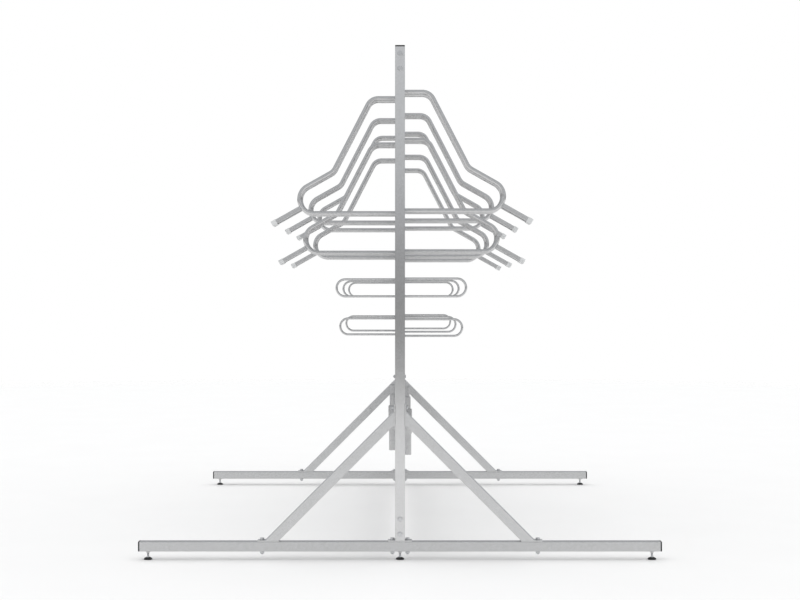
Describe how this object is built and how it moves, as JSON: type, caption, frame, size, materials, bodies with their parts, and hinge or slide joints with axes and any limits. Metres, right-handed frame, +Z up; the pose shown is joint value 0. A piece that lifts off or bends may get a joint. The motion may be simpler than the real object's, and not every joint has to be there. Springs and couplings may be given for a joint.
{
  "type": "two tier bike rack",
  "caption": "Free-standing double-sided rack of galvanised tube that hangs bicycles upright by the front wheel at staggered heights, with wheel shoes and lock loops.",
  "frame": {"origin": "on the floor under the middle of the rack", "axes": "+Z up, +Y along the row from the near stand to the far stand, +X to the side that bay 01 faces"},
  "size_m": [2.118, 2.5, 2.082],
  "materials": {
    "galvanised_steel": "hot-dip galvanised, satin",
    "black_plastic": "moulded, matt",
    "grey_plastic": "moulded, satin"
  },
  "bodies": {
    "rack": {"rail_near": "galvanised_steel", "post_near": "galvanised_steel", "brace_near_right": "galvanised_steel", "brace_near_left": "galvanised_steel", "post_cap_near": "black_plastic", "rail_cap_near_right": "black_plastic", "rail_cap_near_left": "black_plastic", "rail_far": "galvanised_steel", "post_far": "galvanised_steel", "brace_far_right": "galvanised_steel", "brace_far_left": "galvanised_steel", "post_cap_far": "black_plastic", "rail_cap_far_right": "black_plastic", "rail_cap_far_left": "black_plastic", "beam_bottom": "galvanised_steel", "beam_top": "galvanised_steel", "upright_01": "galvanised_steel", "hoop_pair_01": "galvanised_steel", "wheel_rest_01": "grey_plastic", "upright_02": "galvanised_steel", "hoop_pair_02": "galvanised_steel", "wheel_rest_02": "grey_plastic", "upright_03": "galvanised_steel", "hoop_pair_03": "galvanised_steel", "wheel_rest_03": "grey_plastic", "upright_04": "galvanised_steel", "hoop_pair_04": "galvanised_steel", "wheel_rest_04": "grey_plastic", "upright_05": "galvanised_steel", "hoop_pair_05": "galvanised_steel", "wheel_rest_05": "grey_plastic", "upright_06": "galvanised_steel", "hoop_pair_06": "galvanised_steel", "wheel_rest_06": "grey_plastic", "upright_07": "galvanised_steel", "hoop_pair_07": "galvanised_steel", "wheel_rest_07": "grey_plastic", "upright_08": "galvanised_steel", "hoop_pair_08": "galvanised_steel", "wheel_rest_08": "grey_plastic", "upright_09": "galvanised_steel", "hoop_pair_09": "galvanised_steel", "wheel_rest_09": "grey_plastic", "upright_10": "galvanised_steel", "hoop_pair_10": "galvanised_steel", "wheel_rest_10": "grey_plastic", "upright_11": "galvanised_steel", "hoop_pair_11": "galvanised_steel", "wheel_rest_11": "grey_plastic"},
    "foot_near_left": {"foot_near_left": "black_plastic"},
    "foot_near_middle": {"foot_near_middle": "black_plastic"},
    "foot_near_right": {"foot_near_right": "black_plastic"},
    "foot_far_left": {"foot_far_left": "black_plastic"},
    "foot_far_middle": {"foot_far_middle": "black_plastic"},
    "foot_far_right": {"foot_far_right": "black_plastic"}
  },
  "joints": [
    {"name": "foot_near_left_screw", "type": "slide", "parent": "rack", "child": "foot_near_left", "axis": [0, 0, 1], "range_m": [-0.015, 0.007]},
    {"name": "foot_near_middle_screw", "type": "slide", "parent": "rack", "child": "foot_near_middle", "axis": [0, 0, 1], "range_m": [-0.015, 0.007]},
    {"name": "foot_near_right_screw", "type": "slide", "parent": "rack", "child": "foot_near_right", "axis": [0, 0, 1], "range_m": [-0.015, 0.007]},
    {"name": "foot_far_left_screw", "type": "slide", "parent": "rack", "child": "foot_far_left", "axis": [0, 0, 1], "range_m": [-0.015, 0.007]},
    {"name": "foot_far_middle_screw", "type": "slide", "parent": "rack", "child": "foot_far_middle", "axis": [0, 0, 1], "range_m": [-0.015, 0.007]},
    {"name": "foot_far_right_screw", "type": "slide", "parent": "rack", "child": "foot_far_right", "axis": [0, 0, 1], "range_m": [-0.015, 0.007]}
  ]
}
